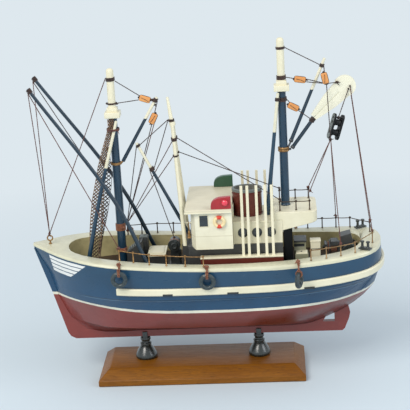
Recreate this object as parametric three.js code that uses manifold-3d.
// Model of a fishing trawler on a display stand. Millimetres, +Z up.
// The origin is the centre of the base board's underside. The bow points to -X and port to -Y.
import * as THREE from "three";
import { mergeVertices } from "three/addons/utils/BufferGeometryUtils.js";
import Module from "manifold-3d";

const wasm = await Module();
wasm.setup();

// Gap between pieces that touch, and the wider one for pieces that lie against a turned face.
const fit = 0.12;
const slack = 0.35;

// Stand
const baseLength = 238;
const baseWidth = 88;
const baseLip = 7;
const baseBevel = 11.2;
const baseHeight = 18;
const pedestalRadius = 12.8;
const pedestalX = 66.3;
const forkDepth = 6;
const forkHalf = { x: 2.9, y: 5.5 };

// Keel board
const keelBottom = 45;
const keelThickness = 7;
const stemHead = 158;

// Hull
const beam = 139;
const sheerLow = 148.2;
const sheerLowX = 20;
const bowRise = 15.14;
const sternRise = 8.6;
const bowX = -187.8;
const sternX = 208.5;
const rimShoulder = 2;
const waleStep = 2.6;
const cavityHalfWidth = 54;
const deckTop = 131;
const deckThickness = 2.5;
const strakeHeight = 8;
const strakeThickness = 3;

// Superstructure
const plinthFront = -15;
const plinthAft = 98;
const plinthHalf = 33;
const houseFloor = 163;
const wheelhouseFront = -3;
const wheelhouseAft = 43;
const wheelhouseHalf = 46;
const wheelhouseTop = 205.7;
const roofThickness = 3.8;
const roofOverhang = 4;
const deckhouseHalf = 30;
const deckhouseTop = 189;
const portholeDiameter = 10.3;
const boatDeckTop = 198;
const boatDeckAft = 137;
const boatDeckFront = 89;
const casingThickness = 10;
const funnelX = 59.5;
const funnelLength = 33;
const funnelWidth = 27;
const funnelHeight = 31;
const funnelWall = 2;
const rackWidth = 9.5;
const rackTop = 152;
const slatTop = 231;
const slatWidth = 3;
const lifeRingRadius = 5.2;
const lifeRingTube = 1.9;

// Spars
const foremastX = -86;
const foremastCapZ = 307;
const foremastLength = 231;
const foremastTop = deckTop + foremastLength;
const aftMastX = 102.5;
const aftMastCapZ = 329.5;
const aftMastLength = 190;
const aftMastTop = boatDeckTop + aftMastLength;
const mastRadius = 4.9;
const topmastRadius = 4.2;
const capSize = 17;
const capHeight = 6.5;
const bipodTop = 327;
const bipodJoin = 297;
const bipodRadius = 2.3;

// Fittings
const tyreRadius = 6.9;
const tyreTube = 2.45;
const cordRadius = 0.9;
const railHeight = 13;
const railPost = 0.8;
const railWire = 0.55;
const threadRadius = 0.5;
const blockLength = 12;

const up = new THREE.Vector3(0, 0, 1);
const v = (x, y, z) => new THREE.Vector3(x, y, z);

// Geometry helpers
function solid(geometry) {
  const bare = geometry.index ? geometry.toNonIndexed() : geometry.clone();
  bare.deleteAttribute("normal");
  bare.deleteAttribute("uv");
  const merged = mergeVertices(bare, 1e-4);
  return new wasm.Manifold(
    new wasm.Mesh({
      numProp: 3,
      vertProperties: merged.attributes.position.array,
      triVerts: new Uint32Array(merged.index.array),
    }),
  );
}

function join(parts) {
  return parts.reduce((sum, part) => sum.add(part));
}

function geometryOf(manifold) {
  const mesh = manifold.getMesh();
  return new THREE.BufferGeometry()
    .setAttribute("position", new THREE.BufferAttribute(mesh.vertProperties, 3))
    .setIndex(new THREE.BufferAttribute(mesh.triVerts, 1));
}

function block(x0, x1, y0, y1, z0, z1) {
  return solid(
    new THREE.BoxGeometry(x1 - x0, y1 - y0, z1 - z0).translate((x0 + x1) / 2, (y0 + y1) / 2, (z0 + z1) / 2),
  );
}

// A straight round bar from one point to another, tapered where the end radius differs.
function rod(from, to, radius, sides = 10, endRadius = radius) {
  const along = to.clone().sub(from);
  const turn = new THREE.Quaternion().setFromUnitVectors(v(0, 1, 0), along.clone().normalize());
  const middle = from.clone().addScaledVector(along, 0.5);
  const bar = new THREE.CylinderGeometry(endRadius, radius, along.length(), sides);
  return solid(bar.applyQuaternion(turn).translate(...middle));
}

const extrusion = (shape, depth, curveSegments) =>
  new THREE.ExtrudeGeometry(shape, { depth, bevelEnabled: false, curveSegments });

function ball(at, radius) {
  return solid(new THREE.IcosahedronGeometry(radius, 0).translate(...at));
}

// A band round a spar: a ring about the given direction.
function band(at, direction, inner, outer, height, sides = 6) {
  const shape = new THREE.Shape().absarc(0, 0, outer, 0, 2 * Math.PI);
  shape.holes.push(new THREE.Path().absarc(0, 0, inner, 0, 2 * Math.PI, true));
  const geometry = extrusion(shape, height, sides);
  const turn = new THREE.Quaternion().setFromUnitVectors(up, direction.clone().normalize());
  return solid(geometry.translate(0, 0, -height / 2).applyQuaternion(turn).translate(...at));
}

function torus(at, direction, radius, tube, sides = 8, steps = 20) {
  const turn = new THREE.Quaternion().setFromUnitVectors(up, direction.clone().normalize());
  return solid(new THREE.TorusGeometry(radius, tube, sides, steps).applyQuaternion(turn).translate(...at));
}

function outline(points) {
  return new THREE.Shape(points.map(([a, b]) => new THREE.Vector2(a, b)));
}

// A plan outline raised from z0 to z1.
function raise(shape, z0, z1, segments = 6) {
  return solid(extrusion(shape, z1 - z0, segments).translate(0, 0, z0));
}

// A side outline in x and z, spread from y0 to y1.
function spread(shape, y0, y1, segments = 6) {
  return solid(extrusion(shape, y1 - y0, segments).rotateX(Math.PI / 2).translate(0, y1, 0));
}

// A turned piece about a vertical axis through x, y, from a profile of radius and height.
function turned(profile, x, y, sides = 24) {
  const points = profile.map(([radius, height]) => new THREE.Vector2(radius, height));
  return solid(new THREE.LatheGeometry(points, sides).rotateX(Math.PI / 2).translate(x, y, 0));
}

// A closed skin through rings of equal point count, with a fan over each end.
function loft(rings) {
  const positions = [];
  const count = rings[0].length;
  const face = (a, b, c) => positions.push(...a, ...b, ...c);
  for (let i = 0; i + 1 < rings.length; i++) {
    for (let j = 0; j < count; j++) {
      const k = (j + 1) % count;
      face(rings[i][j], rings[i][k], rings[i + 1][k]);
      face(rings[i][j], rings[i + 1][k], rings[i + 1][j]);
    }
  }
  const first = rings[0];
  const last = rings[rings.length - 1];
  for (let j = 1; j + 1 < count; j++) {
    face(first[0], first[j + 1], first[j]);
    face(last[0], last[j], last[j + 1]);
  }
  const geometry = new THREE.BufferGeometry();
  geometry.setAttribute("position", new THREE.BufferAttribute(new Float32Array(positions), 3));
  const made = solid(geometry);
  return made.volume() < 0 ? solid(flipped(geometry)) : made;
}

function flipped(geometry) {
  const source = geometry.attributes.position.array;
  const turnedRound = new Float32Array(source.length);
  for (let i = 0; i < source.length; i += 9) {
    turnedRound.set(source.subarray(i, i + 3), i);
    turnedRound.set(source.subarray(i + 6, i + 9), i + 3);
    turnedRound.set(source.subarray(i + 3, i + 6), i + 6);
  }
  return new THREE.BufferGeometry().setAttribute("position", new THREE.BufferAttribute(turnedRound, 3));
}

// Cuts a neighbour out of a piece and leaves a gap to it on the given sides.
function clear(piece, neighbour, gap, directions) {
  return directions.reduce(
    (left, [x, y, z]) => left.subtract(neighbour.translate([x * gap, y * gap, z * gap])),
    piece.subtract(neighbour),
  );
}

// Paint
const paint = {
  cream: { color: 0xe8e2c4, roughness: 0.5 },
  hullBlue: { color: 0x34547a, roughness: 0.45 },
  mastBlue: { color: 0x264469, roughness: 0.45 },
  darkBlue: { color: 0x193246, roughness: 0.5 },
  red: { color: 0x80484a, roughness: 0.45 },
  redBrown: { color: 0x5a2d23, roughness: 0.5 },
  walnut: { color: 0x8c6231, roughness: 0.35 },
  blackGreen: { color: 0x1d2724, roughness: 0.25 },
  darkGrey: { color: 0x2a2c2c, roughness: 0.5 },
  grey: { color: 0x5d645f, roughness: 0.6 },
  deckBrown: { color: 0x2d1e19, roughness: 0.7 },
  tyre: { color: 0x3a4242, roughness: 0.7 },
  brass: { color: 0x966e3c, roughness: 0.35, metalness: 0.9 },
  thread: { color: 0x463228, roughness: 0.9 },
  net: { color: 0x785f50, roughness: 0.95 },
  portLight: { color: 0xa81c24, roughness: 0.35 },
  starboardLight: { color: 0x1f4a30, roughness: 0.35 },
  lifeRing: { color: 0xf0dfa8, roughness: 0.5 },
};

const ship = new THREE.Group();

function add(name, manifold, finish) {
  const mesh = new THREE.Mesh(geometryOf(manifold), new THREE.MeshStandardMaterial(finish));
  mesh.name = name;
  ship.add(mesh);
  return manifold;
}

// Stand: a bevelled board and two turned pedestals, each with a fork that takes the keel.
function baseBoard() {
  const l = baseLength / 2;
  const w = baseWidth / 2;
  const ring = (dx, dy, z) => [v(-dx, -dy, z), v(dx, -dy, z), v(dx, dy, z), v(-dx, dy, z)];
  return loft([
    ring(l - 0.8, w - 0.8, 0),
    ring(l, w, 0.8),
    ring(l, w, baseLip),
    ring(l - baseBevel, w - baseBevel, baseHeight - 0.8),
    ring(l - baseBevel - 1.5, w - baseBevel - 1.5, baseHeight),
  ]);
}

const forkBottom = keelBottom - fit;

function pedestal(x) {
  const foot = baseHeight + fit;
  const r = pedestalRadius;
  const top = forkBottom + forkDepth;
  const body = turned(
    [
      [0, foot],
      [r * 0.94, foot],
      [r, foot + 2.4],
      [r * 0.92, foot + 5.4],
      [r * 0.72, foot + 10.6],
      [r * 0.46, foot + 15.6],
      [r * 0.5, foot + 17],
      [r * 0.5, foot + 18.4],
      [r * 0.39, foot + 19.8],
      [r * 0.39, foot + 21],
      [r * 0.45, foot + 22.4],
      [r * 0.45, foot + 25],
      [r * 0.36, foot + 26],
      [0, foot + 26],
    ],
    x,
    0,
    18,
  );
  const fork = block(x - forkHalf.x, x + forkHalf.x, -forkHalf.y, forkHalf.y, foot + 24, top);
  const halfSlot = keelThickness / 2 + fit;
  return body.add(fork).subtract(block(x - r, x + r, -halfSlot, halfSlot, forkBottom, top + 1));
}

// Hull lines, each a curve from the stem to the stern on the port side: x, half-breadth, height.
const rimZ = (x) =>
  x < sheerLowX
    ? sheerLow + bowRise * ((sheerLowX - x) / (sheerLowX - bowX)) ** 1.5
    : sheerLow + sternRise * ((x - sheerLowX) / (sternX - sheerLowX)) ** 2.8;

const halfBeam = beam / 2;
const keelHalf = keelThickness / 2;
const rimPlan = [
  [bowX, keelHalf],
  [-179, 12.5],
  [-168, 23.5],
  [-150, 40],
  [-120, 58],
  [-90, 66],
  [-50, halfBeam],
  [60, halfBeam],
  [100, 68],
  [140, 62.5],
  [170, 56],
  [190, 47.5],
  [202, 34],
  [207, 18],
  [sternX, 2],
];

const hullLines = {
  strakeTop: [
    [-172, keelHalf, 131],
    [-162, 19, 130],
    [-143, 38, 129],
    [-113, 56, 128.5],
    [-84, 65.5, 128],
    [-40, halfBeam - 0.7, 127],
    [50, halfBeam - 0.7, 127],
    [100, 67.4, 128],
    [140, 62.3, 130],
    [170, 56, 132.5],
    [191, 47, 135],
    [203, 33, 137],
    [208, 17, 138],
    [209.4, 2, 138],
  ],
  wale: [
    [-167.5, keelHalf, 116],
    [-157, 18, 115.5],
    [-138, 36, 115],
    [-108, 54.5, 114.5],
    [-80, 64, 113.5],
    [-40, halfBeam - 1.2, 112],
    [50, halfBeam - 1.2, 112.4],
    [100, 67, 114],
    [140, 61.4, 117],
    [170, 54.4, 121],
    [190, 45, 124],
    [202, 31, 127],
    [207, 15, 128.5],
    [208.6, 2, 128.5],
  ],
  water: [
    [-163, keelHalf, 99.5],
    [-152, 14, 99],
    [-133, 28.5, 98.5],
    [-110, 42.5, 98],
    [-85, 54, 97.3],
    [-50, 62.5, 96.3],
    [0, 65, 95.6],
    [60, 65, 95.8],
    [100, 62.5, 96.7],
    [130, 57, 97.6],
    [155, 47.5, 98.6],
    [175, 34.5, 99.6],
    [190, 20, 100.5],
    [200, 2, 101],
  ],
  chine: [
    [-151, keelHalf, 73],
    [-140, 12, 72],
    [-122, 25, 71],
    [-103, 37.5, 71.5],
    [-82, 45, 72.5],
    [-50, 47.5, 72],
    [0, 48, 71.5],
    [60, 48, 72],
    [100, 44.5, 74.5],
    [130, 38, 78],
    [152, 29, 81],
    [168, 20, 84],
    [180, 9, 86.5],
    [188, 2, 88],
  ],
  garboard: [
    [-133, keelHalf, 57.5],
    [-112, keelHalf, 52.8],
    [-60, keelHalf, 53.2],
    [60, keelHalf, 53.6],
    [108, keelHalf, 54],
    [128, keelHalf, 56.5],
    [150, keelHalf, 65],
    [168, 3, 74],
    [178, 2, 80],
  ],
};

const stations = 30;

// The stations lie closer together at both ends, where the plan curves most.
function sampled(curve, i) {
  const t = i / stations;
  return curve.getPoint(t - (0.08 * Math.sin(4 * Math.PI * t)) / (2 * Math.PI));
}

const spline = (points) =>
  new THREE.CatmullRomCurve3(
    points.map(([x, y, z]) => v(x, y, z)),
    false,
    "centripetal",
  );

const rimCurve = spline(rimPlan.map(([x, y]) => [x, y, rimZ(x)]));
const lineCurves = {};
for (const [key, points] of Object.entries(hullLines)) {
  lineCurves[key] = spline(points);
}

// The wale stands proud of the side below it and fades out at the bow.
const waleDepth = (x) => waleStep * Math.min(1, Math.max(0, (x + 112) / 30));

function hullRing(i) {
  const rim = sampled(rimCurve, i);
  const strake = sampled(lineCurves.strakeTop, i);
  const wale = sampled(lineCurves.wale, i);
  const step = waleDepth(wale.x);
  const side = [
    v(rim.x, Math.max(keelHalf * 0.5, rim.y - rimShoulder), rimZ(rim.x)),
    v(rim.x, rim.y, rimZ(rim.x) - rimShoulder),
    strake,
    wale,
    v(wale.x, Math.max(1.5, wale.y - step), wale.z - 1.2 - step * 0.4),
    sampled(lineCurves.water, i),
    sampled(lineCurves.chine, i),
    sampled(lineCurves.garboard, i),
  ];
  const other = side.map((p) => v(p.x, -p.y, p.z)).reverse();
  return [...side, ...other];
}

const hullBody = loft(Array.from({ length: stations + 1 }, (_, i) => hullRing(i)));

const cavityPlan = [
  [-147, 3],
  [-143, 19],
  [-130, 32],
  [-110, 40.5],
  [-85, 46.5],
  [-50, 51],
  [-10, cavityHalfWidth],
  [60, cavityHalfWidth],
  [100, 51.5],
  [122, 47.5],
  [146, 41],
  [165, 34],
  [178, 24.5],
  [184, 13],
  [186, 3],
];

// Both sides of the well, pulled in by an inset.
function wellShape(inset) {
  const half = new THREE.SplineCurve(cavityPlan.map(([x, y]) => new THREE.Vector2(x, y))).getPoints(26);
  const port = half.map((p) => {
    const end = Math.min(1, Math.abs(p.x - sheerLowX) / 150);
    return new THREE.Vector2(p.x - Math.sign(p.x - sheerLowX) * inset * end, -(p.y - inset));
  });
  const starboard = port.map((p) => new THREE.Vector2(p.x, -p.y)).reverse();
  return new THREE.Shape([...port, ...starboard]);
}

const deckBottom = deckTop - deckThickness;
const rimHighest = rimZ(bowX) + 5;
const hull = hullBody.subtract(raise(wellShape(0), deckBottom - fit, rimHighest));

function keelBoard() {
  const board = spread(
    outline([
      [-187.4, stemHead],
      [-170.5, 104],
      [-156, 53],
      [-153, 48],
      [-147, keelBottom],
      [163, keelBottom],
      [166, 47.5],
      [171, 60],
      [172.5, 67],
      [170, 78],
      [150, 78],
      [-100, 70],
      [-140, 100],
      [-168, stemHead],
    ]),
    -keelHalf,
    keelHalf,
  );
  const aperture = spread(
    outline([
      [140.5, 56.5],
      [154.5, 56.5],
      [154.5, 75],
      [152, 75],
    ]),
    -keelThickness,
    keelThickness,
  );
  const trimmed = clear(board, hullBody, slack, [
    [-1, 0, 0],
    [0, 0, -1],
    [-0.7, 0, -0.7],
  ]);
  const pieces = trimmed.subtract(aperture).decompose();
  return pieces.reduce((most, piece) => (piece.volume() > most.volume() ? piece : most));
}

// The rubbing strake runs from a squared start near the bow round the stern.
const strakeStartX = -91;

function rubbingStrake() {
  const top = lineCurves.strakeTop;
  const rings = [];
  const steps = 24;
  for (let i = 0; i <= steps; i++) {
    const t = 0.27 + (0.73 * i) / steps;
    const p = top.getPoint(Math.min(t, 0.999));
    rings.push(p);
  }
  const port = rings.filter((p) => p.x > strakeStartX);
  const path = [...port.map((p) => v(p.x, -p.y, p.z)), ...port.slice().reverse()];
  const profile = path.map((p, i) => {
    const before = path[Math.max(0, i - 1)];
    const after = path[Math.min(path.length - 1, i + 1)];
    const along = after.clone().sub(before).setZ(0).normalize();
    const out = v(along.y, -along.x, 0);
    const at = (offset, drop) => v(p.x + out.x * offset, p.y + out.y * offset, p.z - drop);
    const t = strakeThickness;
    const h = strakeHeight;
    return [at(-3, 0.2), at(t - 0.8, 0.2), at(t, 1.2), at(t, h - 1), at(t - 0.8, h), at(-3, h)];
  });
  return clear(loft(profile), hullBody, fit, [
    [0, -1, 0],
    [0, 1, 0],
    [1, 0, 0],
  ]);
}

add("base_board", baseBoard(), paint.walnut);
add("pedestal_fore", pedestal(-pedestalX), paint.blackGreen);
add("pedestal_aft", pedestal(pedestalX), paint.blackGreen);
add("hull", hull, paint.hullBlue);
add("keel_board", keelBoard(), paint.red);
add("deck", raise(wellShape(slack), deckBottom, deckTop), paint.deckBrown);
add("rubbing_strake", rubbingStrake(), paint.cream);

// Superstructure, from the plinth up.
const plinthTop = houseFloor - fit;

function plinth() {
  const nose = 8;
  return raise(
    outline([
      [plinthFront, -plinthHalf + nose],
      [plinthFront + nose, -plinthHalf],
      [plinthAft, -plinthHalf],
      [plinthAft, plinthHalf],
      [plinthFront + nose, plinthHalf],
      [plinthFront, plinthHalf - nose],
    ]),
    deckTop,
    plinthTop,
  );
}

// Two values, the lower one first.
const ordered = (a, b) => (a < b ? [a, b] : [b, a]);

const windowDepth = 0.8;
const windowSill = houseFloor + 26.5;
const windowHead = windowSill + 13;
const windowLength = 9.5;
const facetRun = 5;
const bellHookZ = 189;
const bellY = -27;
const bellX = wheelhouseFront - 3.4;

function wheelhouse() {
  const w = wheelhouseHalf;
  const front = wheelhouseFront;
  const facetWidth = 10;
  const plan = outline([
    [front, -w + facetWidth],
    [front + facetRun, -w],
    [wheelhouseAft, -w],
    [wheelhouseAft, w],
    [front + facetRun, w],
    [front, w - facetWidth],
  ]);
  const chin = 5;
  const side = new THREE.Shape()
    .moveTo(front + chin, houseFloor)
    .lineTo(wheelhouseAft + 1, houseFloor)
    .lineTo(wheelhouseAft + 1, wheelhouseTop)
    .lineTo(front - 1, wheelhouseTop)
    .lineTo(front - 1, houseFloor + chin)
    .quadraticCurveTo(front, houseFloor, front + chin, houseFloor);
  let house = raise(plan, houseFloor, wheelhouseTop).intersect(spread(side, -w - 1, w + 1));
  const windowX = front + facetRun + 5;
  for (const s of [-1, 1]) {
    const [y0, y1] = ordered(s * (w - windowDepth), s * (w + 1));
    house = house.subtract(block(windowX, windowX + windowLength, y0, y1, windowSill, windowHead));
  }
  for (const y of [-24, -8, 8, 24]) {
    const pane = block(front - 1, front + windowDepth, y - 6, y + 6, windowSill, windowHead);
    house = house.subtract(pane);
  }
  const hook = rod(v(front + 1, bellY, bellHookZ), v(bellX - 1.6, bellY, bellHookZ), 0.6, 8);
  const stop = rod(v(bellX - 1.5, bellY, bellHookZ), v(bellX - 2, bellY, bellHookZ), 1, 8);
  return house.add(hook).add(stop);
}

const roofBottom = wheelhouseTop + fit;
const roofTop = roofBottom + roofThickness;

function roof() {
  const w = wheelhouseHalf + roofOverhang;
  const front = wheelhouseFront - 6;
  const corner = 3;
  const shape = new THREE.Shape()
    .moveTo(front, -w + corner)
    .quadraticCurveTo(front, -w, front + corner, -w)
    .lineTo(wheelhouseAft, -w)
    .lineTo(wheelhouseAft, w)
    .lineTo(front + corner, w)
    .quadraticCurveTo(front, w, front, w - corner);
  return raise(shape, roofBottom, roofTop, 4);
}

const portholeX = [54, 69.7, 85];
const portholeZ = 176;

function deckhouse() {
  const front = wheelhouseAft + fit;
  let house = block(front, plinthAft, -deckhouseHalf, deckhouseHalf, houseFloor, deckhouseTop);
  for (const x of portholeX) {
    for (const s of [-1, 1]) {
      const from = v(x, s * (deckhouseHalf - 1.2), portholeZ);
      const to = v(x, s * (deckhouseHalf + 1), portholeZ);
      house = house.subtract(rod(from, to, portholeDiameter / 2, 16));
    }
  }
  return house;
}

// The boat deck rests on the deckhouse and tapers aft behind it.
const boatDeckBottomFront = boatDeckTop - 21;
const boatDeckBottomAft = boatDeckTop - 12;

function boatDeck() {
  const seat = deckhouseTop + fit;
  const back = plinthAft + fit;
  const side = new THREE.Shape()
    .moveTo(boatDeckFront, seat)
    .lineTo(back, seat)
    .lineTo(back, boatDeckBottomFront)
    .lineTo(boatDeckAft, boatDeckBottomAft)
    .lineTo(boatDeckAft, boatDeckTop)
    .lineTo(boatDeckFront, boatDeckTop);
  const w = deckhouseHalf;
  const corner = 9;
  const plan = new THREE.Shape()
    .moveTo(boatDeckFront - 1, -w)
    .lineTo(boatDeckAft - corner, -w)
    .quadraticCurveTo(boatDeckAft, -w, boatDeckAft, -w + corner)
    .lineTo(boatDeckAft, w - corner)
    .quadraticCurveTo(boatDeckAft, w, boatDeckAft - corner, w)
    .lineTo(boatDeckFront - 1, w);
  return spread(side, -w - 1, w + 1).intersect(raise(plan, boatDeckBottomFront - 1, boatDeckTop + 1, 6));
}

const underside = (x) =>
  boatDeckBottomFront +
  ((boatDeckBottomAft - boatDeckBottomFront) * (x - plinthAft - fit)) / (boatDeckAft - plinthAft - fit);

function casing() {
  const front = plinthAft + 1;
  const back = front + casingThickness;
  return spread(
    outline([
      [front, deckTop],
      [back, deckTop],
      [back, underside(back) - fit],
      [front, underside(front) - fit],
    ]),
    -deckhouseHalf + 2,
    deckhouseHalf - 2,
  );
}

function funnel() {
  const floor = deckhouseTop + fit;
  const oval = (grow) => {
    const shape = new THREE.Shape();
    shape.absellipse(funnelX, 0, funnelLength / 2 + grow, funnelWidth / 2 + grow, 0, 2 * Math.PI);
    return shape;
  };
  const rimHeight = 3;
  const top = floor + funnelHeight;
  const body = raise(oval(0), floor, top - rimHeight + 0.5, 14);
  const rim = raise(oval(0.6), top - rimHeight, top, 14);
  return body.add(rim).subtract(raise(oval(-funnelWall), floor + 6, top + 1, 14));
}

const lightLength = 22;
const lightHeight = 13.5;
const lightThickness = 6;
const lensRadius = 3.7;

function sidelight(side) {
  const aft = wheelhouseAft - 0.6;
  const front = aft - lightLength;
  const bottom = roofTop + fit;
  const shape = new THREE.Shape()
    .moveTo(front, bottom)
    .lineTo(aft, bottom)
    .lineTo(aft, bottom + lightHeight)
    .lineTo(front + lightLength / 2, bottom + lightHeight - 0.6)
    .quadraticCurveTo(front, bottom + lightHeight - 2, front, bottom + 3);
  const outer = side * (wheelhouseHalf + 2);
  const board = spread(shape, ...ordered(outer, outer - side * lightThickness), 8);
  const centre = v(aft - 6.5, outer - side, bottom + 7.2);
  const lens = rod(centre, centre.clone().add(v(0, side * 2, 0)), lensRadius, 16, lensRadius * 0.8);
  return board.add(lens);
}

const lifeRingX = 29;
const lifeRingZ = 195;

function lifeRing(side) {
  const y = side * (wheelhouseHalf + fit + lifeRingTube);
  return torus(v(lifeRingX, y, lifeRingZ), v(0, 1, 0), lifeRingRadius, lifeRingTube, 8, 16);
}

const slatX = [54, 60.5, 70.5, 80, 87.3];
const rackInner = plinthHalf + 1.5;
const rackFront = 6;
const slatThickness = 2;

// A long box beside the plinth with five upright slats that lean a little inboard.
function slatRack(side) {
  const [y0, y1] = ordered(side * rackInner, side * (rackInner + rackWidth));
  let rack = block(rackFront, plinthAft, y0, y1, deckTop, rackTop);
  const footY = rackInner + rackWidth / 2 + 0.5;
  const headY = deckhouseHalf + 2.6;
  for (const x of slatX) {
    const x0 = x - slatWidth / 2;
    const x1 = x + slatWidth / 2;
    const ring = (y, z) => {
      const a = side * (y - slatThickness / 2);
      const b = side * (y + slatThickness / 2);
      return [v(x0, a, z), v(x1, a, z), v(x1, b, z), v(x0, b, z)];
    };
    rack = rack.add(loft([ring(footY, rackTop - 1), ring(headY, slatTop)]));
  }
  return rack;
}

add("superstructure_plinth", plinth(), paint.darkGrey);
add("wheelhouse", wheelhouse(), paint.cream);
add("wheelhouse_roof", roof(), paint.cream);
add("deckhouse", deckhouse(), paint.cream);
add("boat_deck", boatDeck(), paint.cream);
add("engine_casing", casing(), paint.darkBlue);
add("funnel", funnel(), paint.redBrown);
add("sidelight_port", sidelight(-1), paint.portLight);
add("sidelight_starboard", sidelight(1), paint.starboardLight);
add("life_ring_port", lifeRing(-1), paint.lifeRing);
add("life_ring_starboard", lifeRing(1), paint.lifeRing);
add("slat_rack_port", slatRack(-1), paint.cream);
add("slat_rack_starboard", slatRack(1), paint.cream);

// Spars
const mastFoot = deckTop + fit;

// A round bar along a gentle curve, tapered from foot to head and cut level at the foot.
function spar(points, footRadius, headRadius, level, sides = 10, steps = 8) {
  const curve = new THREE.CatmullRomCurve3(points);
  const frame = v(0, 1, 0);
  const rings = [];
  for (let i = 0; i <= steps; i++) {
    const at = curve.getPoint(i / steps);
    const along = curve.getTangent(i / steps);
    const across = frame.clone().cross(along).normalize();
    const other = along.clone().cross(across);
    const radius = footRadius + ((headRadius - footRadius) * i) / steps;
    rings.push(
      Array.from({ length: sides }, (_, j) => {
        const a = (2 * Math.PI * j) / sides;
        return at
          .clone()
          .addScaledVector(across, radius * Math.cos(a))
          .addScaledVector(other, radius * Math.sin(a));
      }),
    );
  }
  const reach = 1000;
  return loft(rings).intersect(block(-reach, reach, -reach, reach, level, reach));
}

function mast(x, foot, capZ, top) {
  const lower = rod(v(x, 0, foot), v(x, 0, capZ + 1), mastRadius, 16, mastRadius * 0.92);
  const half = capSize / 2;
  const cap = block(x - half, x + half, -half, half, capZ, capZ + capHeight);
  const small = half * 0.68;
  const step = block(x - small, x + small, -small, small, capZ + capHeight - 1, capZ + capHeight + 4.5);
  const r = topmastRadius;
  const upper = turned(
    [
      [0, capZ + 2],
      [r * 1.05, capZ + 2],
      [r, top - 4],
      [r * 0.9, top - 1.6],
      [r * 0.55, top - 0.3],
      [0, top],
    ],
    x,
    0,
    16,
  );
  return join([lower, cap, step, upper]);
}

const foremast = mast(foremastX, mastFoot, foremastCapZ, foremastTop);

// The aft mast carries an iron band with two lugs for the feet of the boom and the crane arm.
const bandZ = 263;
const boomFoot = v(aftMastX + 8.2, 0, 271);
const boomHead = v(150.5, 0, 363);
const armFoot = v(aftMastX + 9.5, 0, 263.6);

function aftMast() {
  const body = mast(aftMastX, boatDeckTop + fit, aftMastCapZ, aftMastTop);
  const ring = band(v(aftMastX, 0, bandZ), up, mastRadius - 0.6, mastRadius + 1.4, 5);
  const lug = rod(v(aftMastX + 5, 0, bandZ - 0.6), v(armFoot.x - 0.8, 0, bandZ - 0.6), 1.4, 8);
  const upperEnd = boomFoot.clone().lerp(boomHead, -0.005);
  const upperLug = rod(v(aftMastX + 5, 0, bandZ + 1.2), upperEnd, 1.2, 8);
  return join([body, ring, lug, upperLug]);
}

const bipodX = -20;
const bipodSpread = 0.8;
const bipodFoot = v(-11.3, 29, houseFloor - 3);

function bipod() {
  const r = bipodRadius;
  const apex = v(bipodX, 0, bipodJoin);
  const head = v(bipodX - 4, 0, bipodTop);
  const parts = [
    rod(v(bipodX, 0, bipodJoin - 4), head, r * 1.1, 12, r * 0.65),
    band(apex, head.clone().sub(apex), r * 0.5, r * 1.5, 4),
  ];
  for (const s of [-1, 1]) {
    const foot = v(bipodFoot.x, s * bipodFoot.y, bipodFoot.z);
    parts.push(rod(v(bipodX, s * bipodSpread, bipodJoin), foot, r, 12));
  }
  const reach = 500;
  return join(parts).intersect(block(-reach, reach, -reach, reach, houseFloor, reach));
}

const outriggerPath = {
  port: [v(-46, -42, deckTop - 4), v(-86, -32, 217), v(-173, -29, 348)],
  starboard: [v(-46, 38, deckTop - 4), v(-85, 24, 219), v(-177, 29, 350)],
};
const outrigger = (path) => spar(path, 2.4, 1.8, mastFoot);

const netPoleHead = v(-81.5, -9, 304);
const netPole = spar([v(-127, -22, deckTop - 4), v(-107, -16, 212), netPoleHead], 2.7, 1.6, mastFoot, 10, 6);

const foreDerrickHead = v(-35.5, 0, 327.5);
const foreDerrickFoot = v(foremastX + 8, 0, 256);

function foreDerrick() {
  const pole = rod(foreDerrickFoot, foreDerrickHead, 2.1, 10, 1.6);
  const strap = band(v(foremastX, 0, 254), v(0, 0, 1), mastRadius + 0.3, mastRadius + 1.5, 2.6);
  const link = rod(v(foremastX + mastRadius + 0.8, 0, 254), v(foreDerrickFoot.x + 1, 0, 257), 1.1, 8);
  return join([pole, strap, link]);
}

const midDerrickHead = v(-61.5, 0, 276);
const midDerrickTie = v(-46, 0, 245.5);
const midDerrick = rod(v(-7.4, 0, houseFloor + 2.4), midDerrickHead, 2.1, 10, 1.6);

const aftBoom = rod(boomFoot, boomHead, 2.1, 10, 1.6);

// Two flat boards side by side make the outer part of the crane arm, which ends in a round head.
const armTie = v(137, 0, 298);
const armHead = v(172, 0, 331.6);
const armHeadRadius = 12;
const armRodEnd = armTie.clone().lerp(armHead, 0.08);
const armThickness = 4.4;
const armHoleRadius = 0.85;
const armKnotHole = v(163.3, 0, 336.6);
const sternLineHole = v(177.4, 0, 331.7);
const powerBlockHole = v(175.6, 0, 328.6);

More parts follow.
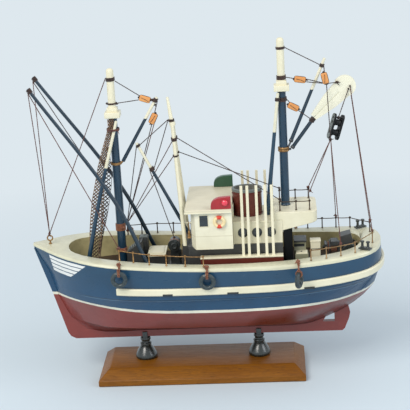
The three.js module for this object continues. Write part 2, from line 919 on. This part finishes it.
function craneArm() {
  const lower = rod(armFoot, armRodEnd, 2.1, 10);
  const along = armHead.clone().sub(armTie).normalize();
  const across = v(-along.z, 0, along.x);
  const corner = (p, w) => p.clone().addScaledVector(across, w);
  const middle = armTie.clone().lerp(armHead, 0.5);
  const edge = [
    corner(armTie, -4),
    corner(middle, -9),
    corner(armHead, -11.4),
    corner(armHead, 11.4),
    corner(middle, 9),
    corner(armTie, 4),
  ];
  const half = armThickness / 2;
  const acrossArm = (at, radius, y, sides) => rod(v(at.x, -y, at.z), v(at.x, y, at.z), radius, sides);
  const board = spread(outline(edge.map((p) => [p.x, p.z])), -half, half);
  const end = armTie.clone().lerp(armHead, 0.82);
  const groove = [corner(armTie, -0.25), corner(end, -0.25), corner(end, 0.25), corner(armTie, 0.25)];
  const grooveShape = outline(groove.map((p) => [p.x, p.z]));
  const holeAt = (at) => acrossArm(at, armHoleRadius, half + 1, 8);
  const holes = [armKnotHole, sternLineHole, powerBlockHole].map(holeAt);
  return board
    .add(acrossArm(armHead, armHeadRadius, half, 32))
    .subtract(spread(grooveShape, -half - 1, -half + 0.5))
    .subtract(spread(grooveShape, half - 0.5, half + 1))
    .subtract(join(holes))
    .add(lower);
}

const toppingPolePath = [v(81.6, -7, deckhouseTop - 4), v(86.4, -6.9, 228), v(98.3, -5.9, 327.5)];
const toppingPole = spar(toppingPolePath, 2.6, 1.7, deckhouseTop + fit, 10, 4);

// The net hangs from the pole's head in one gathered bundle behind the pole.
function net() {
  const rings = [
    [-93, -5, 303, 2.2, 2],
    [-95.5, -6, 285, 3.4, 2.8],
    [-101.5, -7, 247, 4.8, 3.4],
    [-107, -8, 205, 5.8, 3.8],
    [-113, -10, 165, 7.4, 4.4],
    [-116.5, -12, 140, 8.6, 5],
    [-117, -12.5, mastFoot, 8.8, 5.2],
  ];
  const sides = 12;
  const skin = rings.map(([x, y, z, rx, ry]) =>
    Array.from({ length: sides }, (_, j) => {
      const a = (2 * Math.PI * j) / sides;
      return v(x + rx * Math.cos(a), y + ry * Math.sin(a), z);
    }),
  );
  return clear(loft(skin), netPole, slack, [
    [0, 1, 0],
    [1, 0, 0],
    [-1, 0, 0],
  ]);
}

add("foremast", foremast, paint.mastBlue);
add("aft_mast", aftMast(), paint.mastBlue);
add("bipod_mast", bipod(), paint.cream);
add("outrigger_port", outrigger(outriggerPath.port), paint.darkBlue);
add("outrigger_starboard", outrigger(outriggerPath.starboard), paint.darkBlue);
add("net_pole", netPole, paint.mastBlue);
add("fishing_net", net(), paint.net);
add("fore_derrick", foreDerrick(), paint.darkBlue);
add("mid_derrick", midDerrick, paint.darkBlue);
add("aft_boom", aftBoom, paint.darkBlue);
add("crane_arm", craneArm(), paint.cream);
add("topping_pole", toppingPole, paint.mastBlue);

// Rails: nails in the rim with a wire along their heads.
const forePosts = [
  [-84, 47],
  [-68, 53],
  [-50, 58],
  [-31, 60],
  [-10, 62],
  [10, 63],
];
const aftPosts = [
  [128, 58.5],
  [145, 55.5],
  [161, 52],
  [177, 46.5],
  [198, 20],
];
const boatDeckPosts = [
  [96, 23],
  [114, 23],
  [129, 23],
];

function rail(posts, footAt, height) {
  const heads = posts.map(([x, y]) => v(x, y, footAt(x) + height));
  const parts = heads.map((head) => rod(head.clone().setZ(head.z - height), head, railPost, 6));
  const run = heads.map((head) => head.clone().setZ(head.z - 1));
  for (let i = 0; i + 1 < run.length; i++) {
    parts.push(rod(run[i], run[i + 1], railWire, 5));
  }
  return join(parts);
}

const rimSeat = (x) => rimZ(x) + slack + fit;
const deckSeat = () => boatDeckTop + fit;
const round = (posts) => [...posts.map(([x, y]) => [x, -y]), ...posts.slice().reverse()];
const boatDeckRailHeight = 11.5;

const tyreX = [-82.5, 14, 114];
const tyreZ = [141.3, 135.6, 137];
const tyreTurn = [0, 0, 1.2];

// A tyre hangs by a doubled cord from the outer edge of the rim.
function fender(index, side) {
  const x = tyreX[index];
  const reach = tyreRadius + tyreTube;
  const edge = rimPlanAt(x) + fit + cordRadius + 0.65;
  const turn = side < 0 ? tyreTurn[index] : 0;
  const out = Math.max(
    edge + 1.2,
    halfBeam + strakeThickness + slack + tyreTube * Math.cos(turn) + reach * Math.abs(Math.sin(turn)),
  );
  const centre = v(x, side * out, tyreZ[index]);
  const axis = v(Math.sin(turn), side * Math.cos(turn), 0);
  const ring = torus(centre, axis, tyreRadius, tyreTube, 7, 15);
  const top = centre.clone().setZ(centre.z + tyreRadius);
  const radial = v(Math.cos(turn), -side * Math.sin(turn), 0);
  const loop = torus(top, radial, tyreTube + 0.55, cordRadius, 4, 7);
  const hang = v(x, side * edge, rimZ(x) - rimShoulder);
  const cord = rod(top.clone().setZ(top.z + tyreTube + 0.4), hang, cordRadius, 6);
  return join([ring, loop, cord, ball(hang, cordRadius * 1.4)]);
}

function rimPlanAt(x) {
  const after = rimPlan.findIndex(([px]) => px > x);
  const [x0, y0] = rimPlan[after - 1];
  const [x1, y1] = rimPlan[after];
  return y0 + ((y1 - y0) * (x - x0)) / (x1 - x0);
}

add("rail_fore_port", rail(forePosts.map(([x, y]) => [x, -y]), rimSeat, railHeight), paint.brass);
add("rail_fore_starboard", rail(forePosts, rimSeat, railHeight), paint.thread);
add("rail_aft", rail(round(aftPosts), rimSeat, railHeight), paint.brass);
add("rail_boat_deck", rail(round(boatDeckPosts), deckSeat, boatDeckRailHeight), paint.thread);

const fenderNames = ["fore", "mid", "aft"];
fenderNames.forEach((place, index) => {
  add("fender_" + place + "_port", fender(index, -1), paint.tyre);
  add("fender_" + place + "_starboard", fender(index, 1), paint.tyre);
});

// Deck fittings
function bollard(side) {
  const x = 188.5;
  const y = side * 40;
  const turn = side * -0.5;
  const seat = rimZ(x + 6) + slack;
  const parts = [
    new THREE.BoxGeometry(14, 6, 1.4).translate(0, 0, 0.7),
    new THREE.BoxGeometry(10, 4, 1).translate(0, 0, 1.7),
  ].map(solid);
  for (const dx of [-3.4, 3.4]) {
    parts.push(
      turned(
        [
          [0, 1.8],
          [2, 1.8],
          [1.5, 3.4],
          [1.5, 7],
          [2.3, 7.6],
          [2.3, 9],
          [0, 9.4],
        ],
        dx,
        0,
        10,
      ),
    );
  }
  return join(parts)
    .rotate([0, 0, THREE.MathUtils.radToDeg(turn) * -1])
    .translate([x, y, seat]);
}

const hatchLength = 21;
const hatchWidth = 32;
const hatchHeight = 18.5;
const hatchX = -45.5;

function hatch() {
  const l = hatchLength / 2;
  const w = hatchWidth / 2;
  const top = deckTop + hatchHeight;
  const coaming = block(hatchX - l + 1, hatchX + l - 1, -w + 1, w - 1, deckTop, top - 2);
  return coaming.add(block(hatchX - l, hatchX + l, -w, w, top - 3, top));
}

// Two louvred boxes side by side behind the foremast.
function ventBoxes() {
  const large = spread(
    outline([
      [-80, deckTop],
      [-62, deckTop],
      [-62, 163],
      [-80, 150],
    ]),
    -8,
    8,
  );
  const slope = 13 / 18;
  let boxes = large.add(block(-67, -57, 7.5, 20, deckTop, 162));
  for (const x of [-76.5, -72.5, -68.5]) {
    const z = 150 + (x + 80) * slope;
    boxes = boxes.subtract(block(x - 0.7, x + 0.7, -6, 6, z - 0.6, z + 2));
  }
  return boxes;
}

// The warping winch: a pedestal with a drum, whose end faces port.
function foreWinch() {
  const x = -25.5;
  const drumZ = 157;
  const bed = block(x - 6.5, x + 6.5, -8, 8, deckTop, deckTop + 3);
  const column = block(x - 5, x + 5, -5, 6, deckTop + 2, drumZ);
  const drum = rod(v(x, -7, drumZ), v(x, 8, drumZ), 6.2, 18);
  const flange = rod(v(x, -9.5, drumZ), v(x, -7.5, drumZ), 7.2, 20);
  const hub = rod(v(x, -12, drumZ), v(x, -9, drumZ), 3.6, 16);
  const recess = rod(v(x, -12.5, drumZ), v(x, -11.2, drumZ), 2.2, 12);
  const neck = rod(v(x, -8, drumZ), v(x, -6.5, drumZ), 4.6, 16);
  return join([bed, column, drum, flange, neck, hub]).subtract(recess);
}

// A low locker with a taller one behind it; dark slots open in their port faces.
function aftLocker() {
  const low = block(111.5, 126, -27, -12.5, deckTop, deckTop + 16.5);
  const high = block(110.5, 124, -13, 6, deckTop, deckTop + 26);
  const lid = block(110, 124.6, -14, 6.6, deckTop + 26, deckTop + 28);
  return join([low, high, lid])
    .subtract(block(114, 124, -28, -26, deckTop + 4.5, deckTop + 8.5))
    .subtract(block(110.4, 122, -13.5, -11.6, deckTop + 21, deckTop + 24));
}

const aftCrate = block(129, 140, -16, -4, deckTop, deckTop + 27);

function sternWinch() {
  const z = deckTop + 16;
  const y = -2;
  const parts = [
    block(142.5, 165, -13, 9, deckTop, deckTop + 3),
    block(145, 147.5, -9, 5, deckTop + 2, z + 5),
    block(160, 162.5, -9, 5, deckTop + 2, z + 5),
    rod(v(143, y, z), v(164.5, y, z), 1.8, 10),
    rod(v(147, y, z), v(160.5, y, z), 5.2, 16),
    rod(v(150, y, z), v(151.5, y, z), 8, 20),
    block(152, 160, -12, 2, z + 4, z + 9),
  ];
  return join(parts);
}

const netDrumRadius = 10.5;
const netDrumX = 173.3;
const netDrumZ = deckTop + netDrumRadius + fit;

const netDrumBarrel = netDrumRadius * 0.82;

function netDrum() {
  const at = (y) => v(netDrumX, y, netDrumZ);
  return join([
    rod(at(-13), at(-11), netDrumRadius, 20),
    rod(at(-12), at(11), netDrumBarrel, 16),
    rod(at(10), at(12), netDrumRadius, 20),
  ]);
}

// A tilted box that lies on the net drum, between its flanges.
function sternCrate() {
  const height = 12;
  const tilt = 14;
  const turn = THREE.MathUtils.degToRad(tilt);
  const above = netDrumBarrel + fit + height / 2;
  return solid(new THREE.BoxGeometry(13.5, 16, height))
    .rotate([0, -tilt, 0])
    .translate([netDrumX - above * Math.sin(turn), 1.4, netDrumZ + above * Math.cos(turn)]);
}

const bowEyeX = -168.5;
const bowEyeRadius = 3;
const bowEyeZ = rimZ(bowEyeX) + 7;

function bowEye() {
  const ring = torus(v(bowEyeX, 0, bowEyeZ), v(0, 1, 0), bowEyeRadius, 0.8, 6, 16);
  const seat = rimZ(bowEyeX) + slack;
  return ring.add(rod(v(bowEyeX, 0, seat), v(bowEyeX, 0, bowEyeZ - bowEyeRadius), 1, 8));
}

// The bell hangs by an eye from the hook on the wheelhouse front.
const bellEye = 1.15;

function bell() {
  const z = bellHookZ;
  const profile = [
    [0, z - 10],
    [0.9, z - 10.4],
    [1.4, z - 12],
    [1.6, z - 15],
    [2.3, z - 17.5],
    [1.7, z - 17.5],
    [1.1, z - 15],
    [0, z - 13],
  ].reverse();
  const cup = turned(profile, bellX, bellY, 14);
  const eye = torus(v(bellX, bellY, z - 0.2), v(1, 0, 0), bellEye, 0.4, 5, 12);
  const stem = rod(v(bellX, bellY, z - bellEye - 0.4), v(bellX, bellY, z - 10.3), 0.5, 8);
  return join([cup, eye, stem]);
}

add("bollard_port", bollard(-1), paint.blackGreen);
add("bollard_starboard", bollard(1), paint.blackGreen);
add("fore_hatch", hatch(), paint.cream);
add("vent_boxes", ventBoxes(), paint.grey);
add("fore_winch", foreWinch(), paint.blackGreen);
add("aft_lockers", aftLocker(), paint.cream);
add("aft_crate", aftCrate, paint.cream);
add("stern_winch", sternWinch(), paint.darkGrey);
add("net_drum", netDrum(), paint.deckBrown);
add("stern_crate", sternCrate(), paint.grey);
add("bow_eye", bowEye(), paint.brass);
add("bell", bell(), paint.brass);

// Rigging. A thread runs between named points, and a tie is a band round a spar or a knot on a nail head.
const tieGap = 0.4;
const thread = (from, to) => rod(from, to, threadRadius, 4);
const knot = (at) => ball(at, 1.1);

function tie(at, direction, radius) {
  return band(at, direction, radius + tieGap, radius + tieGap + 1, 2, 5);
}

// The point of a tie, on the side of the spar that faces a target, where a thread starts.
function eye(at, direction, radius, target) {
  const along = direction.clone().normalize();
  const out = target.clone().sub(at);
  out.addScaledVector(along, -out.dot(along)).normalize();
  return at.clone().addScaledVector(out, radius + tieGap + 0.6);
}

// A wooden block threaded on a line, set along the direction between two points.
function tackleBlock(centre, direction) {
  const turn = new THREE.Quaternion().setFromUnitVectors(v(1, 0, 0), direction.clone().normalize());
  return solid(
    new THREE.BoxGeometry(blockLength, 4.5, 6.5).applyQuaternion(turn).translate(...centre),
  );
}

const nailHead = (x, y) => v(x, y, rimSeat(x) + railHeight + 1.3);
const deckNailHead = (x, y) => v(x, y, deckSeat() + boatDeckRailHeight + 1.3);
const forePortNail = nailHead(forePosts[0][0], -forePosts[0][1]);
const foreStarboardNail = nailHead(...forePosts[0]);
const bowKnot = v(bowEyeX, 0, bowEyeZ + bowEyeRadius + 2.1);

const mastTieZ = foremastTop - 11;
const mastTieRadius = topmastRadius;
const sparHead = 2.05;
const sparTie = 1.75;

// Ties near an outrigger's head, with the direction of the spar there.
function headTie([, bend, head]) {
  const along = head.clone().sub(bend).normalize();
  return { at: head.clone().addScaledVector(along, -3.5), along };
}

function foreRigging() {
  const port = headTie(outriggerPath.port);
  const starboard = headTie(outriggerPath.starboard);
  const top = v(foremastX, 0, mastTieZ);
  const portEye = eye(port.at, port.along, sparHead, bowKnot);
  const starboardEye = eye(starboard.at, starboard.along, sparHead, bowKnot);
  const portNail = forePortNail;
  const starboardNail = foreStarboardNail.clone().add(v(0, 1.9, 0.3));
  return join([
    tie(port.at, port.along, sparHead),
    tie(starboard.at, starboard.along, sparHead),
    tie(top, up, mastTieRadius),
    knot(bowKnot),
    thread(portEye, bowKnot),
    thread(starboardEye, bowKnot),
    thread(eye(top, up, mastTieRadius, bowKnot), bowKnot),
    thread(portEye, portNail),
    knot(portNail),
    thread(starboardEye, starboardNail),
    knot(starboardNail),
  ]);
}

const topTieZ = foremastCapZ + capHeight + 8.9;
const foreUpperBlock = v(-49, 0, 326);
const foreLowerBlock = v(-41, -0.5, 303.5);
const derrickTie = v(-37.5, 0, 324.2);

// Centre of the starboard leg of the bipod mast at a height.
function bipodLeg(z) {
  const t = (bipodJoin - z) / (bipodJoin - bipodFoot.z);
  return v(bipodX, bipodSpread, bipodJoin).lerp(bipodFoot, t);
}

function foreTackle() {
  const top = v(foremastX, 0, mastTieZ - 3.5);
  const topTie = v(foremastX, 0, topTieZ);
  const derrickAlong = foreDerrickHead.clone().sub(foreDerrickFoot);
  const midAlong = midDerrickHead.clone().sub(midDerrickTie);
  const midHead = v(-60, 0, 273);
  const nail = foreStarboardNail.clone().add(v(0, -1.9, 0.3));
  const winchTop = v(-25.5, -2, 164.3);
  const poleTie = v(-21, 0, bipodJoin + 4.6);
  const aside = v(0, bipodRadius + 1.6, 0);
  const legKnot = bipodLeg(280).add(aside);
  const lowKnot = bipodLeg(262).add(aside);
  const farNail = deckNailHead(...boatDeckPosts[0]);
  const nearNail = deckNailHead(boatDeckPosts[0][0], -boatDeckPosts[0][1]);
  const derrickEye = eye(derrickTie, derrickAlong, sparTie, foreUpperBlock);
  const lowerEye = eye(derrickTie, derrickAlong, sparTie, foreLowerBlock);
  const poleEye = (target) => eye(poleTie, up, bipodRadius * 1.1, target);
  return join([
    tie(top, up, mastTieRadius),
    thread(eye(top, up, mastTieRadius, foreUpperBlock), foreUpperBlock),
    tie(topTie, up, mastTieRadius * 1.05),
    thread(eye(topTie, up, mastTieRadius * 1.05, foreUpperBlock), foreUpperBlock),
    tackleBlock(foreUpperBlock, v(12, 0, -4)),
    thread(foreUpperBlock, derrickEye),
    tie(derrickTie, derrickAlong, sparTie),
    thread(lowerEye, foreLowerBlock),
    tackleBlock(foreLowerBlock, v(-6, 0, -12)),
    thread(foreLowerBlock, nail),
    thread(foreLowerBlock.clone().add(v(2.2, 0, -1.2)), nail),
    knot(nail),
    tie(midHead, midAlong, sparTie),
    thread(eye(midHead, midAlong, sparTie, nail), nail),
    thread(eye(midHead, midAlong, sparTie, poleTie), poleEye(midHead)),
    tie(midDerrickTie, midAlong, sparHead),
    thread(eye(midDerrickTie, midAlong, sparHead, winchTop), winchTop),
    knot(winchTop),
    thread(eye(midDerrickTie, midAlong, sparHead, poleTie), poleEye(midDerrickTie)),
    tie(poleTie, up, bipodRadius * 1.1),
    thread(legKnot, nearNail),
    knot(nearNail),
    knot(legKnot),
    thread(legKnot, nail),
    thread(lowKnot, farNail),
    knot(farNail),
    thread(legKnot, lowKnot),
    knot(lowKnot),
    thread(lowKnot, nail),
  ]);
}
add("fore_rigging", foreRigging(), paint.thread);
add("fore_tackle", foreTackle(), paint.thread);

// A thread through a hole in the crane arm, with a knot on each face.
const armKnotOut = armThickness / 2 + 2 * fit + 1.1;

function throughArm(hole) {
  const near = v(hole.x, -armKnotOut, hole.z);
  const far = v(hole.x, armKnotOut, hole.z);
  return join([knot(near), thread(near, far), knot(far)]);
}

const boomTieAt = v(147.3, 0, 355.2);
const aftFirstBlock = v(123, -5, 341.6);
const aftSecondBlock = v(150.2, -4, 341.7);
const aftThirdBlock = v(114.8, -3.2, 311);
const lineCross = v(151.8, -4.4, 335.6);
const aftKnot = v(154.2, -21, 277.1);
const tetherEnd = v(154.1, -13.64, 278.1);

function aftRigging() {
  const top = v(aftMastX, 0, aftMastTop - 11.4);
  const collar = v(aftMastX, 0, aftMastCapZ + 14.5);
  const lashing = v(aftMastX, 0, 319.5);
  const collarRadius = topmastRadius * 1.05;
  const boomAlong = boomHead.clone().sub(boomFoot);
  const armAlong = armRodEnd.clone().sub(armFoot).normalize();
  const armBand = armRodEnd.clone().addScaledVector(armAlong, -7.8);
  const poleCurve = new THREE.CatmullRomCurve3(toppingPolePath);
  const armKnot = v(armKnotHole.x, -armKnotOut, armKnotHole.z);
  const farArmKnot = v(armKnotHole.x, armKnotOut, armKnotHole.z);
  const sternKnot = v(sternLineHole.x, -armKnotOut, sternLineHole.z);
  const farSternKnot = v(sternLineHole.x, armKnotOut, sternLineHole.z);
  const rise = v(0, 0, 2);
  const boatDeckNail = deckNailHead(...boatDeckPosts[2]);
  const wireKnot = v(boatDeckPosts[2][0] + 1.6, 4, boatDeckNail.z + 1.2);
  const railNails = [nailHead(aftPosts[2][0], -aftPosts[2][1]), nailHead(...aftPosts[2])];
  const sternNails = [nailHead(aftPosts[4][0], -aftPosts[4][1]), nailHead(...aftPosts[4])];
  const behindCap = v(aftMastX, capSize / 2 + 1.4, aftMastCapZ - 0.8);
  const aboveCap = behindCap.clone().setZ(aftMastCapZ + capHeight + 0.8);
  const parts = [
    tie(top, up, topmastRadius),
    thread(eye(top, up, topmastRadius, boomTieAt), eye(boomTieAt, boomAlong, sparTie, top)),
    tie(boomTieAt, boomAlong, sparTie),
    thread(eye(boomTieAt, boomAlong, sparTie, aftSecondBlock), aftSecondBlock),
    tackleBlock(aftSecondBlock, v(2.5, -0.5, -11.6)),
    thread(aftSecondBlock, lineCross),
    tie(collar, up, collarRadius),
    thread(eye(collar, up, collarRadius, aftFirstBlock), aftFirstBlock),
    tackleBlock(aftFirstBlock, v(12.6, 0, -2)),
    thread(aftFirstBlock.clone().add(rise), lineCross),
    thread(aftFirstBlock.clone().sub(rise), lineCross),
    knot(lineCross),
    thread(lineCross, armKnot),
    throughArm(armKnotHole),
    thread(lineCross, aftKnot),
    knot(aftKnot),
    thread(aftKnot, tetherEnd),
    thread(aftKnot, boatDeckNail),
    knot(boatDeckNail),
    thread(aftKnot, wireKnot),
    knot(wireKnot),
    tie(lashing, up, mastRadius * 0.94),
    tie(poleCurve.getPoint(0.965), poleCurve.getTangent(0.965), 1.75),
    thread(eye(lashing, up, mastRadius * 0.94, aftThirdBlock), aftThirdBlock),
    tackleBlock(aftThirdBlock, v(12.6, 0, -6.6)),
    thread(aftThirdBlock, eye(armBand, armAlong, 2.1, armBand.clone().add(v(0, -9, 0)))),
    band(armBand, armAlong, 2.1 + tieGap, 3.2 + tieGap, 4, 5),
    throughArm(sternLineHole),
    thread(farArmKnot, farSternKnot),
    thread(sternKnot, sternNails[0]),
    thread(farSternKnot, sternNails[1]),
    thread(eye(lashing, up, mastRadius * 0.94, behindCap), behindCap),
    thread(behindCap, aboveCap),
    thread(aboveCap, eye(collar, up, collarRadius, aboveCap)),
  ];
  for (const nail of railNails) {
    parts.push(thread(aftKnot, nail), knot(nail));
  }
  return join([...parts, ...sternNails.map(knot)]);
}

// Power block: two cheeks with a yoke and two axle pins, hung by a cord from the crane arm.
const powerBlockCentre = v(160.7, -8, 287.8);
const powerBlockTilt = 17;
const powerBlockTurn = 15;
const cheekGap = 7;
const cheekThickness = 2.6;
const cheekHeight = 29;
const cheekHalfDepth = 4.4;
const yokeHeight = 10.2;
const yokeRadius = 0.8;
const pinHeights = { upper: 5, lower: -6.6 };
const pinRadius = 1;
const rollerRadius = 4.1;
const rollerBore = 1.25;
const rollerClearance = 0.3;

const hungPlace = (manifold) =>
  manifold
    .rotate([0, 0, powerBlockTurn])
    .rotate([0, powerBlockTilt, 0])
    .translate(powerBlockCentre.toArray());
const crossBar = (z, half, radius, sides) => rod(v(-half, 0, z), v(half, 0, z), radius, sides);

function cheek(side) {
  const inner = (side * cheekGap) / 2;
  const outer = side * (cheekGap / 2 + cheekThickness);
  const straight = cheekHeight / 2 - cheekHalfDepth;
  const end = (z) => rod(v(inner, 0, z), v(outer, 0, z), cheekHalfDepth, 16);
  const x0 = Math.min(inner, outer);
  const plate = block(x0, x0 + cheekThickness, -cheekHalfDepth, cheekHalfDepth, -straight, straight);
  return join([plate, end(-straight), end(straight)]);
}

function powerBlock() {
  const half = cheekGap / 2 + cheekThickness / 2;
  const frame = join([
    cheek(-1),
    cheek(1),
    crossBar(yokeHeight, half, yokeRadius, 8),
    crossBar(pinHeights.upper, half, pinRadius, 8),
    crossBar(pinHeights.lower, half, pinRadius, 8),
  ]);
  const tilt = THREE.MathUtils.degToRad(powerBlockTilt);
  const yoke = v(yokeHeight * Math.sin(tilt), 0, yokeHeight * Math.cos(tilt)).add(powerBlockCentre);
  const cordTop = v(powerBlockHole.x, -armKnotOut, powerBlockHole.z);
  return join([hungPlace(frame), thread(yoke, cordTop), throughArm(powerBlockHole)]);
}

function roller(z) {
  const half = cheekGap / 2 - rollerClearance;
  return hungPlace(crossBar(z, half, rollerRadius, 18).subtract(crossBar(z, half + 1, rollerBore, 12)));
}

add("aft_rigging", aftRigging(), paint.thread);
add("power_block", powerBlock(), paint.blackGreen);
add("roller_upper", roller(pinHeights.upper), paint.blackGreen);
add("roller_lower", roller(pinHeights.lower), paint.blackGreen);

export default ship;
